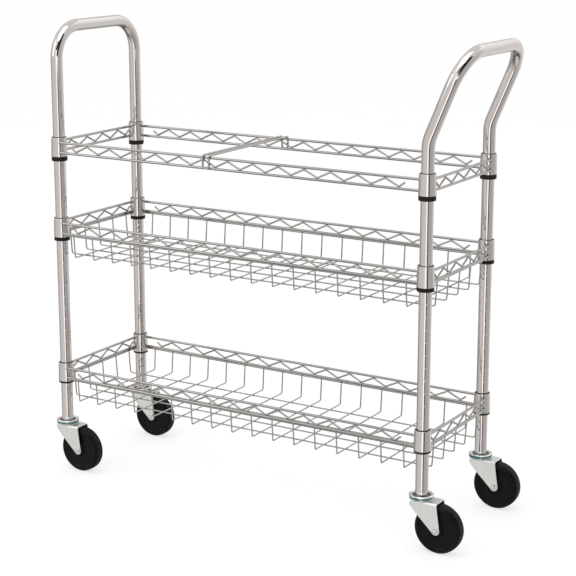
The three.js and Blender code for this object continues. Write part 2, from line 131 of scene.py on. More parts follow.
class CartWires(bpy.types.PropertyGroup):
    rail: length("Rail diameter", "Wire of the shelf rails", 5.5 * MM)
    rail_rise: length("Rail rise", "Height of a side's top rail over its bottom rail", 22 * MM)
    rail_end: length("Rail end", "Distance of a rail's welded end from the post's axis", 11 * MM)
    rim: length("Rim diameter", "Wire welded along under a basket's bottom rail", 4 * MM)
    rim_inset: length("Rim inset", "How far the rim wire lies inside the bottom rail", 1.5 * MM)
    zigzag: length("Zigzag diameter", "Wire bent to and fro between the rails", 4 * MM)
    zigzag_bend: length("Zigzag bend", "Radius of the zigzag's bends", 4.5 * MM)
    long_half_period: length("Long zigzag step", "Length of one leg of the zigzag on a long side", 30 * MM)
    short_half_period: length("Short zigzag step", "Length of one leg of the zigzag on an end", 28 * MM)
    stub_rise: length("Stub rise", "Height of the free end of a zigzag over its last bend", 9 * MM)
    end_clearance: length("End clearance", "Least distance of the repeated wires from a post's axis", 26 * MM)
    weld_depth: length("Weld depth", "How far welded wires sink into each other", 0.8 * MM)
    weld_bead: length("Weld bead", "Radius of the bead where a rail meets a collar", 3.3 * MM)
    bead_offset: length("Bead offset", "How far a bead's middle lies past its rail's end", 1 * MM)
    basket: length("Basket wire diameter", "Wire of the basket walls and floor", 3 * MM)
    basket_pitch: length("Basket pitch", "Distance between the basket wires", 50.8 * MM)
    cross_bend: length("Cross wire bend", "Bend of a cross wire at the foot of a long wall", 4 * MM)
    length_bend: length("Length wire bend", "Bend of a lengthwise wire at the foot of an end wall", 5 * MM)
    basket_lean: length("Basket lean", "How far a basket wall leans in towards its foot", 8 * MM)
    crossbar: length("Crossbar diameter", "Wire of the bar across the upper rails", 4.5 * MM)
    steps: IntProperty(name="Wire steps", description="Faces around a wire", default=14, min=6)


class CartCasters(bpy.types.PropertyGroup):
    wheel_width: length("Wheel width", "Width of a wheel's tread", 28 * MM)
    tyre_depth: length("Tyre depth", "Height of the raised rim around a wheel's web", 12 * MM)
    web_recess: length("Web recess", "How deep the web lies inside the rim", 2.6 * MM)
    hub_radius: length("Hub radius", "Radius of a wheel's hub boss", 13 * MM)
    bore_gap: length("Running gap", "Gap between a wheel and its axle", 0.3 * MM)
    axle_radius: length("Axle radius", "Radius of the riveted axle", 4 * MM)
    plate: length("Fork plate", "Sheet thickness of a pressed fork", 2.5 * MM)
    plate_bend: length("Fork bend", "Outside radius of the fork's folded edges", 5 * MM)
    plate_edge: length("Fork edge", "Rounding of the sheet's cut edges", 0.5 * MM)
    fork_boss: length("Fork boss", "Radius of a leg's rounded end at the axle", 9 * MM)
    fork_lip: length("Fork lip", "Depth of the fork's front edge", 9 * MM)
    fork_front: length("Fork front", "Distance of the fork's front edge from the swivel axis", 18.5 * MM)
    fork_back: length("Fork back", "Distance of the fork roof's back edge from the swivel axis", 41 * MM)
    fork_nose: length("Fork nose", "How far each leg is drawn in at the front edge", 2.5 * MM)
    lower_race: length("Lower race height", "Height of the swivel race on the fork", 5 * MM)
    upper_race: length("Upper race height", "Height of the swivel race under the post", 9.6 * MM)
    race_radius: length("Race radius", "Radius of both swivel races", 25 * MM)
    kingpin_radius: length("Kingpin radius", "Radius of the pin that the fork swivels on", 6 * MM)
    kingpin_head: length("Kingpin head", "Radius of the kingpin's head under the fork", 9 * MM)
    head_height: length("Kingpin head height", "Height of the kingpin's head", 3 * MM)
    steps: IntProperty(name="Turned steps", description="Faces around a wheel or race", default=72, min=16)


class CartFinishes(bpy.types.PropertyGroup):
    chrome: tint("Chrome", "Colour of the plated tubes and collars", (0.59, 0.55, 0.525))
    wire: tint("Bright wire", "Colour of the plated wires", (0.37, 0.357, 0.343))
    zinc: tint("Zinc", "Colour of the plated caster steel", (0.75, 0.735, 0.71))
    blue_zinc: tint("Blue zinc", "Colour of the blue tint on the swivel races", (0.11, 0.235, 0.225))
    plastic: tint("Black plastic", "Colour of the split sleeves", (0.012, 0.012, 0.013))
    rubber: tint("Black rubber", "Colour of the hard wheels", (0.004, 0.004, 0.0042))
    dust: tint("Dust", "Colour of the floor dust in the wheels' treads", (0.10, 0.095, 0.09))
    nylon: tint("Grey nylon", "Colour of the stem sockets", (0.26, 0.27, 0.28))


class CartStage(bpy.types.PropertyGroup):
    camera_place: FloatVectorProperty(
        name="Camera place", description="Where the camera stands", default=(1.7215, -2.7968, 1.2667),
        subtype="TRANSLATION", size=3)
    camera_yaw: rotation("Camera yaw", "Turn of the camera to the right of the cart's front", 31.319)
    camera_pitch: rotation("Camera pitch", "How far the camera looks down", 12.689)
    focal_length: FloatProperty(name="Focal length", description="Focal length in millimetres", default=99.29)
    shift: FloatProperty(
        name="Vertical shift", description="Lens shift as a share of the picture", default=-0.0625)
    room_light: FloatProperty(
        name="Room light", description="Level of the even white surroundings on dull surfaces", default=0.88)
    floor_radius: length("Floor radius", "Radius of the round floor", 25.0)
    card_distance: length("Card distance", "Distance of the ring of reflected card from the cart", 8.0)
    floor_glow: FloatProperty(
        name="Floor glow", description="Share of the floor's white that doesn't depend on the lamps",
        default=0.6, min=0.0, max=1.0)


SETTINGS = {
    "cart_tubes": CartTubes,
    "cart_corners": CartCorners,
    "cart_wires": CartWires,
    "cart_casters": CartCasters,
    "cart_finishes": CartFinishes,
    "cart_stage": CartStage,
}


# Node maths

class Field:
    """A node socket that Python sums work on. Each operation adds its node to the socket's tree."""

    def __init__(self, tree, socket=None):
        self.tree = tree
        self.socket = socket

    def node(self, kind, settings=None, inputs=None, output=0):
        """Adds any node: its settings are set first, then the values or links of its sockets."""
        made = self.tree.nodes.new(kind)
        for name, value in (settings or {}).items():
            setattr(made, name, value)
        for name, value in (inputs or {}).items():
            socket = made.inputs[name]
            if isinstance(value, Field):
                self.tree.links.new(value.socket, socket)
            else:
                socket.default_value = value
        return Field(self.tree, made.outputs[output] if made.outputs else None)

    def _sum(self, operation, first, second):
        return self.node("ShaderNodeMath", {"operation": operation}, {0: first, 1: second})

    def __add__(self, other):
        return self._sum("ADD", self, other)

    def __radd__(self, other):
        return self._sum("ADD", other, self)

    def __sub__(self, other):
        return self._sum("SUBTRACT", self, other)

    def __rsub__(self, other):
        return self._sum("SUBTRACT", other, self)

    def __mul__(self, other):
        return self._sum("MULTIPLY", self, other)

    def __rmul__(self, other):
        return self._sum("MULTIPLY", other, self)


def tone(colour, level=1.0):
    """A colour with its brightness scaled, as a socket takes it."""
    return (*(min(1.0, part * level) for part in colour), 1.0)


def mixed(factor, low, high):
    """A colour between two others."""
    return factor.node("ShaderNodeMix", {"data_type": "RGBA"}, {0: factor, 6: low, 7: high}, output=2)


def stepped(value, start, end):
    """A soft step from 0 at start to 1 at end."""
    limits = {"Value": value, "From Min": start, "From Max": end}
    return value.node("ShaderNodeMapRange", {"interpolation_type": "SMOOTHSTEP"}, limits)


def clouds(place, scale, detail, stretch=None):
    """Soft noise from 0 to 1, drawn out or squeezed along an axis where stretch says so."""
    if stretch is not None:
        place = place.node("ShaderNodeMapping", {}, {"Vector": place, "Scale": stretch})
    noise = {"Vector": place, "Scale": scale, "Detail": detail}
    return place.node("ShaderNodeTexNoise", {}, noise, output="Fac")


def bumped(height, strength, distance=0.2 * MM):
    """A surface normal roughened by a height."""
    return height.node("ShaderNodeBump", {}, {"Height": height, "Strength": strength, "Distance": distance})


def stored(paint, name):
    """A value that the mesh holds at each of its points."""
    return paint.node("ShaderNodeAttribute", {"attribute_name": name}, output="Fac")


# Finishes: each function gives the sockets of one surface

def bright_plate(place, colour, polish):
    """Polished plated steel: a faint haze over the plating, drawing marks and dull smears."""
    haze = clouds(place, 14.0, 4.0)
    marks = clouds(place, 700.0, 2.0, (1.0, 1.0, 0.03))
    smears = stepped(clouds(place, 31.0, 5.0), 0.55, 0.75)
    shade = haze * 0.6 + marks * 0.4
    return {
        "Base Color": mixed(shade, tone(colour, 0.95), tone(colour, 1.05)),
        "Metallic": 1.0,
        "Roughness": polish + haze * 0.02 + marks * 0.01 + smears * 0.03,
        "Normal": bumped(clouds(place, 24.0, 1.0), 0.1, 0.05 * MM),
    }


def chrome_tube(place, colours):
    """The mirror plating of the tubes and collars."""
    return bright_plate(place, colours.chrome, 0.015)


def chrome_wire(place, colours):
    """The duller plating of the wires."""
    return bright_plate(place, colours.wire, 0.08)


def bright_zinc(place, colours):
    """Dull bright zinc with a cloudy tint, upright drawing marks and a fine tooth from the pressing."""
    cloudy = clouds(place, 38.0, 4.0)
    tooth = clouds(place, 700.0, 3.0)
    streaks = clouds(place, 160.0, 2.0, (1.0, 1.0, 0.12))
    return {
        "Base Color": mixed(cloudy * 0.5 + streaks * 0.5, tone(colours.zinc, 0.9), tone(colours.zinc, 1.08)),
        "Metallic": 1.0,
        "Roughness": 0.28 + cloudy * 0.10 + tooth * 0.06,
        "Normal": bumped(tooth, 0.12),
    }


def blue_zinc(place, colours):
    """Zinc with a blue band, edged by wavy lines, round the swivel races, and painted shade in the hollow
    round the post.
    """
    casters = bpy.context.scene.cart_casters
    reach = stored(place, "reach")
    height = place.node("ShaderNodeSeparateXYZ", {}, {"Vector": place}, output="Z")
    waves = (clouds(place, 55.0, 1.0, (1.0, 1.0, 0.0)) - 0.5) * (12 * MM)
    top = POST_LOW.z - casters.upper_race + 1 * MM
    bottom = POST_LOW.z - casters.upper_race - casters.lower_race + 0.8 * MM
    below_top = 1.0 - stepped(height + waves, top - 0.4 * MM, top + 0.4 * MM)
    above_bottom = stepped(height - waves * 0.3, bottom - 0.3 * MM, bottom + 0.3 * MM)
    outside = stepped(reach, casters.race_radius - 5 * MM, casters.race_radius - 3 * MM)
    marks = clouds(place, 500.0, 2.0, (1.0, 1.0, 8.0))
    blue = mixed(marks, tone(colours.blue_zinc, 0.7), tone(colours.blue_zinc, 1.5))
    plated = mixed(below_top * above_bottom * outside, tone(colours.zinc, 0.95), blue)
    # Painted shade: the race's hollow, from the post out to inside the raised rim, is darkened to a tenth of
    # the zinc's colour
    painted_shade_past_post = stepped(reach, TUBE_RADIUS - 0.1 * MM, TUBE_RADIUS + 0.1 * MM)
    painted_shade_inside_rim = 1.0 - stepped(reach, TUBE_RADIUS + 4 * MM, TUBE_RADIUS + 7 * MM)
    return {
        "Base Color": mixed(painted_shade_past_post * painted_shade_inside_rim, plated, tone(colours.zinc, 0.1)),
        "Metallic": 1.0,
        "Roughness": 0.22 + marks * 0.10,
        "Normal": bumped(marks, 0.06),
    }


def sleeve_plastic(place, colours):
    """Moulded plastic with a fine eroded grain."""
    grain = clouds(place, 1400.0, 2.0)
    wear = stepped(clouds(place, 90.0, 4.0), 0.5, 0.8)
    return {
        "Base Color": mixed(wear, tone(colours.plastic), tone(colours.plastic, 1.8)),
        "Roughness": 0.38 + grain * 0.10 + wear * 0.08,
        "Specular IOR Level": 0.12,
        "Normal": bumped(grain, 0.15),
    }


def hard_rubber(place, colours):
    """Hard wheel rubber: mould rings on its face, scuffs, and floor dust worked into the tread."""
    reach = stored(place, "reach")
    tread = stepped(reach, WHEEL_RADIUS - 1.5 * MM, WHEEL_RADIUS)
    dust = tread * stepped(clouds(place, 150.0, 5.0), 0.45, 0.8)
    scuffs = clouds(place, 240.0, 4.0)
    scuffed = mixed(scuffs, tone(colours.rubber), tone(colours.rubber, 1.6))
    ring_phase = reach * 5200.0
    rings = place.node("ShaderNodeMath", {"operation": "SINE"}, {0: ring_phase})
    return {
        "Base Color": mixed(dust * 0.3, scuffed, tone(colours.dust)),
        "Roughness": 0.25 + scuffs * 0.12 + tread * 0.2,
        "Specular IOR Level": 0.09,
        "Normal": bumped(rings * 0.25 + scuffs, 0.08),
    }


def socket_nylon(place, colours):
    """Moulded nylon with a cloudy body and a faint grain."""
    cloudy = clouds(place, 45.0, 4.0)
    grain = clouds(place, 900.0, 2.0)
    return {
        "Base Color": mixed(cloudy, tone(colours.nylon, 0.9), tone(colours.nylon, 1.1)),
        "Roughness": 0.5 + grain * 0.12,
        "Normal": bumped(grain, 0.1),
    }


def new_paint(name):
    """An empty material and the handle its nodes are made from."""
    material = bpy.data.materials.new(name)
    material.use_nodes = True
    material.node_tree.nodes.clear()
    return material, Field(material.node_tree)


def place_on_piece(paint):
    """Where each point of a piece lies in the model's frame."""
    return paint.node("ShaderNodeTexCoord", output="Object")


def finish_of(maker):
    """The material with the surface that a function gives, made on its first use."""
    name = maker.__name__
    if name not in bpy.data.materials:
        material, paint = new_paint(name)
        sockets = maker(place_on_piece(paint), bpy.context.scene.cart_finishes)
        surface = paint.node("ShaderNodeBsdfPrincipled", {}, sockets)
        paint.node("ShaderNodeOutputMaterial", {}, {"Surface": surface})
    return bpy.data.materials[name]


# Shapes

def new_piece(name, mesh, material=None):
    piece = bpy.data.objects.new(name, mesh)
    bpy.context.scene.collection.objects.link(piece)
    if material is not None:
        mesh.materials.append(material)
    return piece


def drawn(name, points, edges=(), faces=()):
    """A mesh of points, and of the edges or faces between them."""
    mesh = bpy.data.meshes.new(name)
    mesh.from_pydata(points, edges, faces)
    return mesh


def mesh_of(name, shell):
    """What was built as a bmesh, as a mesh."""
    mesh = bpy.data.meshes.new(name)
    shell.to_mesh(mesh)
    shell.free()
    return mesh


def bake(piece):
    """Makes what a piece's modifiers give its plain mesh."""
    bpy.context.view_layer.update()
    shaped = piece.evaluated_get(bpy.context.evaluated_depsgraph_get())
    plain = bpy.data.meshes.new_from_object(shaped)
    piece.modifiers.clear()
    unshaped = piece.data
    piece.data = plain
    bpy.data.meshes.remove(unshaped)


def place_piece(piece, body, nodes=(), sharp=EDGE_ANGLE):
    """Closes and smooths a finished mesh, and hands the piece to the body that carries it."""
    shell = bmesh.new()
    shell.from_mesh(piece.data)
    bmesh.ops.remove_doubles(shell, verts=shell.verts, dist=1e-6)
    bmesh.ops.dissolve_degenerate(shell, edges=shell.edges, dist=1e-7)
    bmesh.ops.recalc_face_normals(shell, faces=shell.faces)
    for face in shell.faces:
        face.smooth = True
    shell.to_mesh(piece.data)
    shell.free()
    piece.data.set_sharp_from_angle(angle=sharp)
    even = piece.modifiers.new("flat_faces", "WEIGHTED_NORMAL")
    even.keep_sharp = True
    bake(piece)
    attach(piece, body)
    if nodes:
        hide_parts(*nodes)


def filleted(points, steps=4):
    """A closed outline with rounded corners; each point is (across, up) or (across, up, fillet radius)."""
    outline = []
    count = len(points)
    for index, point in enumerate(points):
        here = Vector(point[:2])
        radius = point[2] if len(point) > 2 else 0.0
        if radius == 0.0:
            outline.append(here)
            continue
        before = Vector(points[index - 1][:2]) - here
        after = Vector(points[(index + 1) % count][:2]) - here
        corner = before.angle(after)
        reach = min(radius / math.tan(corner / 2), 0.49 * before.length, 0.49 * after.length)
        first = here + before.normalized() * reach
        last = here + after.normalized() * reach
        inward = (before.normalized() + after.normalized()).normalized()
        centre = here + inward * (reach / math.cos(corner / 2))
        start, stop = first - centre, last - centre
        turn = start.angle_signed(stop)
        for step in range(steps + 1):
            outline.append(centre + Matrix.Rotation(-turn * step / steps, 2) @ start)
    return outline


def mirrored(half):
    """Half a profile on the other side of its middle, run through backwards."""
    return [(radius, -height, *fillet) for radius, height, *fillet in reversed(half)]


def lofted(name, rings, material=None, whole=False):
    """A skin from ring to ring of points: a whole turn ends where it starts, anything else gets flat ends."""
    shell = bmesh.new()
    rows = [[shell.verts.new(point) for point in ring] for ring in rings]
    pairs = list(zip(rows, rows[1:]))
    if whole:
        pairs.append((rows[-1], rows[0]))
    count = len(rows[0])
    for near, far in pairs:
        for index in range(count):
            following = (index + 1) % count
            shell.faces.new((near[index], near[following], far[following], far[index]))
    if not whole:
        shell.faces.new(rows[0])
        shell.faces.new(reversed(rows[-1]))
    bmesh.ops.recalc_face_normals(shell, faces=shell.faces)
    return new_piece(name, mesh_of(name, shell), material)


def turned(name, profile, centre, material, steps, along="Z", start=0.0, sweep=math.tau):
    """A piece turned from a closed profile of (radius, height) points, which stores each point's radius."""
    whole = sweep == math.tau
    rings = []
    for step in range(steps if whole else steps + 1):
        angle = start + sweep * step / steps
        across, aside = math.cos(angle), math.sin(angle)
        ring = [Vector((radius * across, radius * aside, height)) for radius, height in profile]
        rings.append([centre + (point.xzy if along == "Y" else point) for point in ring])
    piece = lofted(name, rings, material, whole)
    reach = piece.data.attributes.new("reach", "FLOAT", "POINT")
    reach.data.foreach_set("value", [radius for radius, height in profile] * len(rings))
    return piece


def joined(name, pieces):
    """Several pieces as one object."""
    whole = bmesh.new()
    for piece in pieces:
        whole.from_mesh(piece.data)
    mesh = mesh_of(name, whole)
    for material in pieces[0].data.materials:
        mesh.materials.append(material)
    for piece in pieces:
        bpy.data.objects.remove(piece)
    return new_piece(name, mesh)


def new_tree(name, sockets):
    """An empty geometry tree: the handle its nodes are made from, and what it is given by name."""
    tree = bpy.data.node_groups.new(name, "GeometryNodeTree")
    for label, kind in sockets.items():
        tree.interface.new_socket(name=label, in_out="INPUT", socket_type=f"NodeSocket{kind}")
    tree.interface.new_socket(name="Geometry", in_out="OUTPUT", socket_type="NodeSocketGeometry")
    outlets = tree.nodes.new("NodeGroupInput").outputs
    return Field(tree), {label: Field(tree, outlets[label]) for label in sockets}


def end_tree(make, geometry, material):
    """Every tree ends alike: instances become a mesh with one finish."""
    plain = make.node("GeometryNodeRealizeInstances", {}, {"Geometry": geometry})
    smooth = make.node("GeometryNodeSetShadeSmooth", {}, {"Geometry": plain})
    painted = make.node("GeometryNodeSetMaterial", {}, {"Geometry": smooth, "Material": material})
    make.node("NodeGroupOutput", {}, {"Geometry": painted})
    return make.tree


def bent_wire():
    """Wire bent along drawn lines, and repeated in a row at even steps."""
    make, given = new_tree("bent_wire", {
        "Lines": "Geometry",
        "Radius": "Float",
        "Bend": "Float",
        "Bend steps": "Int",
        "Steps": "Int",
        "Ends closed": "Bool",
        "Copies": "Int",
        "Offset": "Vector",
        "Material": "Material",
    })
    line = make.node("GeometryNodeMeshToCurve", {}, {"Mesh": given["Lines"]})
    bent = make.node("GeometryNodeFilletCurve", {"mode": "POLY"}, {
        "Curve": line, "Count": given["Bend steps"], "Radius": given["Bend"], "Limit Radius": True})
    section = make.node("GeometryNodeCurvePrimitiveCircle", {"mode": "RADIUS"}, {
        "Resolution": given["Steps"], "Radius": given["Radius"]})
    piece = make.node("GeometryNodeCurveToMesh", {}, {
        "Curve": bent, "Profile Curve": section, "Fill Caps": given["Ends closed"]})
    row = make.node("GeometryNodeMeshLine", {"mode": "OFFSET", "count_mode": "TOTAL"}, {
        "Count": given["Copies"], "Offset": given["Offset"]})
    copies = make.node("GeometryNodeInstanceOnPoints", {}, {"Points": row, "Instance": piece})
    return end_tree(make, copies, given["Material"])


def weld_bead():
    """A round weld bead on every drawn point."""
    make, given = new_tree("weld_bead", {"Points": "Geometry", "Radius": "Float", "Material": "Material"})
    bead = make.node("GeometryNodeMeshIcoSphere", {}, {"Radius": given["Radius"], "Subdivisions": 3})
    beads = make.node("GeometryNodeInstanceOnPoints", {}, {"Points": given["Points"], "Instance": bead})
    return end_tree(make, beads, given["Material"])


def add_tree(piece, maker, values):
    """Puts the node tree that a function makes, on its first use, on a piece with its inputs set."""
    tree = bpy.data.node_groups.get(maker.__name__) or maker()
    modifier = piece.modifiers.new(tree.name, "NODES")
    modifier.node_group = tree
    for item in tree.interface.items_tree:
        if item.in_out == "INPUT" and item.name in values:
            modifier[item.identifier] = values[item.name]


def wire(name, lines, radius, bend=0.0, closed=False, copies=1, offset=(0, 0, 0), steps=None, wall=0.0,
         material=None):
    """A piece of bent wire along each line of points; with a wall it is an open tube."""
    points, edges = [], []
    for line in lines:
        first = len(points)
        points.extend(line)
        edges.extend((first + index, first + index + 1) for index in range(len(line) - 1))
        if closed:
            edges.append((first + len(line) - 1, first))
    piece = new_piece(name, drawn(name, points, edges))
    add_tree(piece, bent_wire, {
        "Radius": radius,
        "Bend": bend,
        "Bend steps": TUBE_BEND_STEPS if wall > 0.0 else WIRE_BEND_STEPS,
        "Steps": steps or bpy.context.scene.cart_wires.steps,
        "Ends closed": wall == 0.0 and not closed,
        "Copies": copies,
        "Offset": offset,
        "Material": material or finish_of(chrome_wire),
    })
    if wall > 0.0:
        shell = piece.modifiers.new("wall", "SOLIDIFY")
        shell.thickness = wall
        shell.offset = -1.0
    bake(piece)
    return piece


# Where the shelves' wires lie

def collar_bottom(level):
    corners = bpy.context.scene.cart_corners
    sleeve_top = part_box(f"sleeve_{level}_front_left")[1].z
    return sleeve_top - corners.sleeve_above - corners.collar_height


class Side:
    """One side of a shelf: the middle of its bottom rail, its directions and the distance of its posts."""

    def __init__(self, level, name):
        self.level, self.name = level, name
        wires = bpy.context.scene.cart_wires
        front_low, front_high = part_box("upper_side_front")
        outside = post_axis("front_left").y - (front_low.y + front_high.y) / 2
        bottom_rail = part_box(f"{level}_side_front")[1].z - wires.rail / 2 - wires.rail_rise
        across = post_axis("back_right") - post_axis("front_left")
        outward = 1 if name in ("back", "right") else -1
        if name in ("front", "back"):
            self.along, self.inward = Vector((1, 0, 0)), Vector((0, -outward, 0))
            self.spacing, self.half_period = across.x, wires.long_half_period
            depth = across.y / 2 + outside
        else:
            self.along, self.inward = Vector((0, 1, 0)), Vector((-outward, 0, 0))
            self.spacing, self.half_period = across.y, wires.short_half_period
            depth = across.x / 2 + outside
        self.middle = CART_MIDDLE - self.inward * depth + Vector((0, 0, bottom_rail))

    def point(self, along, up=0.0, inward=0.0):
        return self.middle + self.along * along + self.inward * inward + Vector((0, 0, up))

    def pattern_length(self):
        return self.spacing - 2 * bpy.context.scene.cart_wires.end_clearance


# Pieces of the cart

class CART_OT_posts(bpy.types.Operator):
    """Corner posts: chrome tubes with fine height grooves"""
    bl_idname = "file_cart.posts"
    bl_label = "Posts"

    def execute(self, context):
        tubes = context.scene.cart_tubes
        radius = tubes.diameter / 2
        bore = radius - tubes.wall
        for corner in CORNERS:
            low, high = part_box(f"post_{corner}")
            profile = [(bore, high.z), (bore, low.z), (radius, low.z)]
            groove = low.z + tubes.groove_pitch
            while groove < high.z - tubes.groove_width:
                profile += [
                    (radius, groove - tubes.groove_width / 2),
                    (radius - tubes.groove_depth, groove),
                    (radius, groove + tubes.groove_width / 2),
                ]
                groove += tubes.groove_pitch
            profile.append((radius, high.z))
            name = f"chrome_post_{corner}"
            post = turned(name, profile, post_axis(corner), finish_of(chrome_tube), tubes.post_steps)
            place_piece(post, "cart_frame", [f"post_{corner}"], sharp=GROOVE_ANGLE)
        return {"FINISHED"}


class CART_OT_handles(bpy.types.Operator):
    """Push handles: an upright one and one that leans out, each bent from one tube"""
    bl_idname = "file_cart.handles"
    bl_label = "Handles"

    def execute(self, context):
        tubes = context.scene.cart_tubes
        radius = tubes.diameter / 2
        for side in ("left", "right"):
            low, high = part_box(f"handle_{side}")
            top = high.z - radius
            near, far = post_axis(f"front_{side}"), post_axis(f"back_{side}")
            lean = (low.x + radius if side == "left" else high.x - radius) - near.x
            kink = Vector((0, 0, tubes.kink_height))
            rise = Vector((lean, 0, top))
            foot = Vector((0, 0, low.z))
            line = [near + foot, near + kink, near + rise, far + rise, far + kink, far + foot]
            if side == "left":
                line = [near + foot, near + rise, far + rise, far + foot]
            handle = wire(
                f"chrome_handle_{side}", [line], radius, tubes.bend, steps=tubes.steps, wall=tubes.wall,
                material=finish_of(chrome_tube))
            place_piece(handle, "cart_frame", [f"handle_{side}"])
        return {"FINISHED"}


class CART_OT_collars(bpy.types.Operator):
    """Corner collars: tapered chrome rings that seat on the sleeves and carry the shelf rails"""
    bl_idname = "file_cart.collars"
    bl_label = "Collars"

    def execute(self, context):
        tubes, corners = context.scene.cart_tubes, context.scene.cart_corners
        top_bore = tubes.diameter / 2 + corners.seat_gap + corners.sleeve_wall + corners.seat_gap
        top = top_bore + corners.collar_wall
        edge, taper = corners.collar_edge, corners.collar_taper
        for level in LEVELS:
            bottom = collar_bottom(level)
            height = bottom + corners.collar_height
            profile = filleted([
                (top_bore, height, edge),
                (top_bore + taper, bottom, edge),
                (top + taper, bottom, edge),
                (top, height, edge),
            ])
            for corner in CORNERS:
                end = corner.split("_")[1]
                name = f"{level}_collar_{corner}"
                collar = turned(name, profile, post_axis(corner), finish_of(chrome_tube), tubes.steps)
                place_piece(collar, "cart_frame", [f"{level}_side_{end}"])
        return {"FINISHED"}


class CART_OT_sleeves(bpy.types.Operator):
    """Split sleeves: two black halves round each post, whose ribbed rim shows under the collar"""
    bl_idname = "file_cart.sleeves"
    bl_label = "Split sleeves"

    def execute(self, context):
        tubes, corners = context.scene.cart_tubes, context.scene.cart_corners
        bore = tubes.diameter / 2 + corners.seat_gap
        rim = bore + corners.sleeve_rim
        top = bore + corners.sleeve_wall
        half_gap = corners.sleeve_split / 2 / rim
        groove, edge, lip = 0.3 * MM, 0.2 * MM, 0.3 * MM
        for level in LEVELS:
            for corner in CORNERS:
                low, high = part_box(f"sleeve_{level}_{corner}")
                shoulder = collar_bottom(level) - corners.seat_gap
                ribs = max(1, round((shoulder - low.z) / corners.sleeve_rib))
                rib = (shoulder - low.z) / ribs
                slope = 0.2 * rib
                outline = [(bore, high.z), (bore, low.z, lip)]
                for index in range(ribs):
                    start = low.z + index * rib
                    outline += [
                        (rim - groove, start, edge / 2),
                        (rim, start + slope, edge),
                        (rim, start + rib - slope, edge),
                    ]
                outline += [
                    (rim - groove, shoulder, edge),
                    (top + corners.collar_taper, shoulder, edge),
                    (top, high.z, lip),
                ]
                profile = filleted(outline, steps=3)
                halves = [
                    turned("half", profile, post_axis(corner), finish_of(sleeve_plastic), tubes.steps // 2,
                           start=split + half_gap, sweep=math.pi - 2 * half_gap)
                    for split in (corners.split_turn, corners.split_turn + math.pi)
                ]
                sleeve = joined(f"split_sleeve_{level}_{corner}", halves)
                place_piece(sleeve, "cart_frame", [f"sleeve_{level}_{corner}"])
        return {"FINISHED"}


class CART_OT_sides(bpy.types.Operator):
    """Shelf sides: two rails, the zigzag welded between them and the weld beads at the collars"""
    bl_idname = "file_cart.sides"
    bl_label = "Shelf sides"

    def execute(self, context):
        for level in LEVELS:
            for name in SIDES:
                side = Side(level, name)
                self.rails(side, context.scene.cart_wires)
                self.zigzag(side, context.scene.cart_wires)
        return {"FINISHED"}

    def rails(self, side, wires):
        """The two rails, the rim wire under those of a basket, and a bead at each end."""
        end = side.spacing / 2 - wires.rail_end
        heights = (0.0, wires.rail_rise)
        lines = [[side.point(-end, up), side.point(end, up)] for up in heights]
        parts = [wire("rails", lines, wires.rail / 2)]
        if side.level in BASKET_LEVELS:
            drop = -(wires.rail + wires.rim) / 2 + wires.weld_depth
            ends = [side.point(share * end, drop, wires.rim_inset) for share in (-1, 1)]
            parts.append(wire("rim", [ends], wires.rim / 2))
        spots = [side.point(share * (end + wires.bead_offset), up) for share in (-1, 1) for up in heights]
        beads = new_piece("beads", drawn("beads", spots))
        add_tree(beads, weld_bead, {"Radius": wires.weld_bead, "Material": finish_of(chrome_wire)})
        bake(beads)
        rails = joined(f"{side.level}_rails_{side.name}", [*parts, beads])
        place_piece(rails, "cart_frame", [f"{side.level}_side_{side.name}"])

    def zigzag(self, side, wires):
        """The wire bent to and fro between the rails, with a short free end at each side."""
        legs = 2 * math.floor(side.pattern_length() / (2 * side.half_period))
        sunk = (wires.rail + wires.zigzag) / 2 - wires.weld_depth
        low, high = sunk, wires.rail_rise - sunk
        first = -side.half_period * legs / 2
        stub_run = side.half_period * wires.stub_rise / wires.rail_rise
        line = [side.point(first - stub_run, low + wires.stub_rise)]
        for leg in range(legs + 1):
            line.append(side.point(first + leg * side.half_period, low if leg % 2 == 0 else high))
        line.append(side.point(-first + stub_run, low + wires.stub_rise))
        zigzag = wire(f"{side.level}_zigzag_{side.name}", [line], wires.zigzag / 2, wires.zigzag_bend)
        place_piece(zigzag, "cart_frame")


class CART_OT_baskets(bpy.types.Operator):
    """Baskets: cross wires bent up the long walls and lengthwise wires bent up the ends"""
    bl_idname = "file_cart.baskets"
    bl_label = "Baskets"

    def execute(self, context):
        wires = context.scene.cart_wires
        for level in BASKET_LEVELS:
            node = f"{level}_basket_floor"
            low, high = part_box(node)
            cross_height = high.z - wires.basket / 2
            length_height = low.z + wires.basket / 2
            self.row(level, "cross", ("front", "back"), cross_height, wires.cross_bend, [node])
            self.row(level, "length", ("left", "right"), length_height, wires.length_bend, [])
        return {"FINISHED"}

    def row(self, level, name, walls, floor_height, bend, nodes):
        """Wires at even steps, each bent from one wall over the floor to the wall across from it."""
        wires = bpy.context.scene.cart_wires
        first, last = (Side(level, wall) for wall in walls)
        count = math.floor(first.pattern_length() / wires.basket_pitch) + 1
        start = -wires.basket_pitch * (count - 1) / 2
        rim = wires.rim_inset + (wires.rim + wires.basket) / 2 - wires.weld_depth
        drop = floor_height - first.middle.z
        top = -wires.rail / 2
        line = [
            first.point(start, top, rim),
            first.point(start, drop, wires.basket_lean),
            last.point(start, drop, wires.basket_lean),
            last.point(start, top, rim),
        ]
        offset = first.along * wires.basket_pitch
        basket = wire(
            f"{level}_basket_{name}_wires", [line], wires.basket / 2, bend, copies=count, offset=offset)
        place_piece(basket, "cart_frame", nodes)


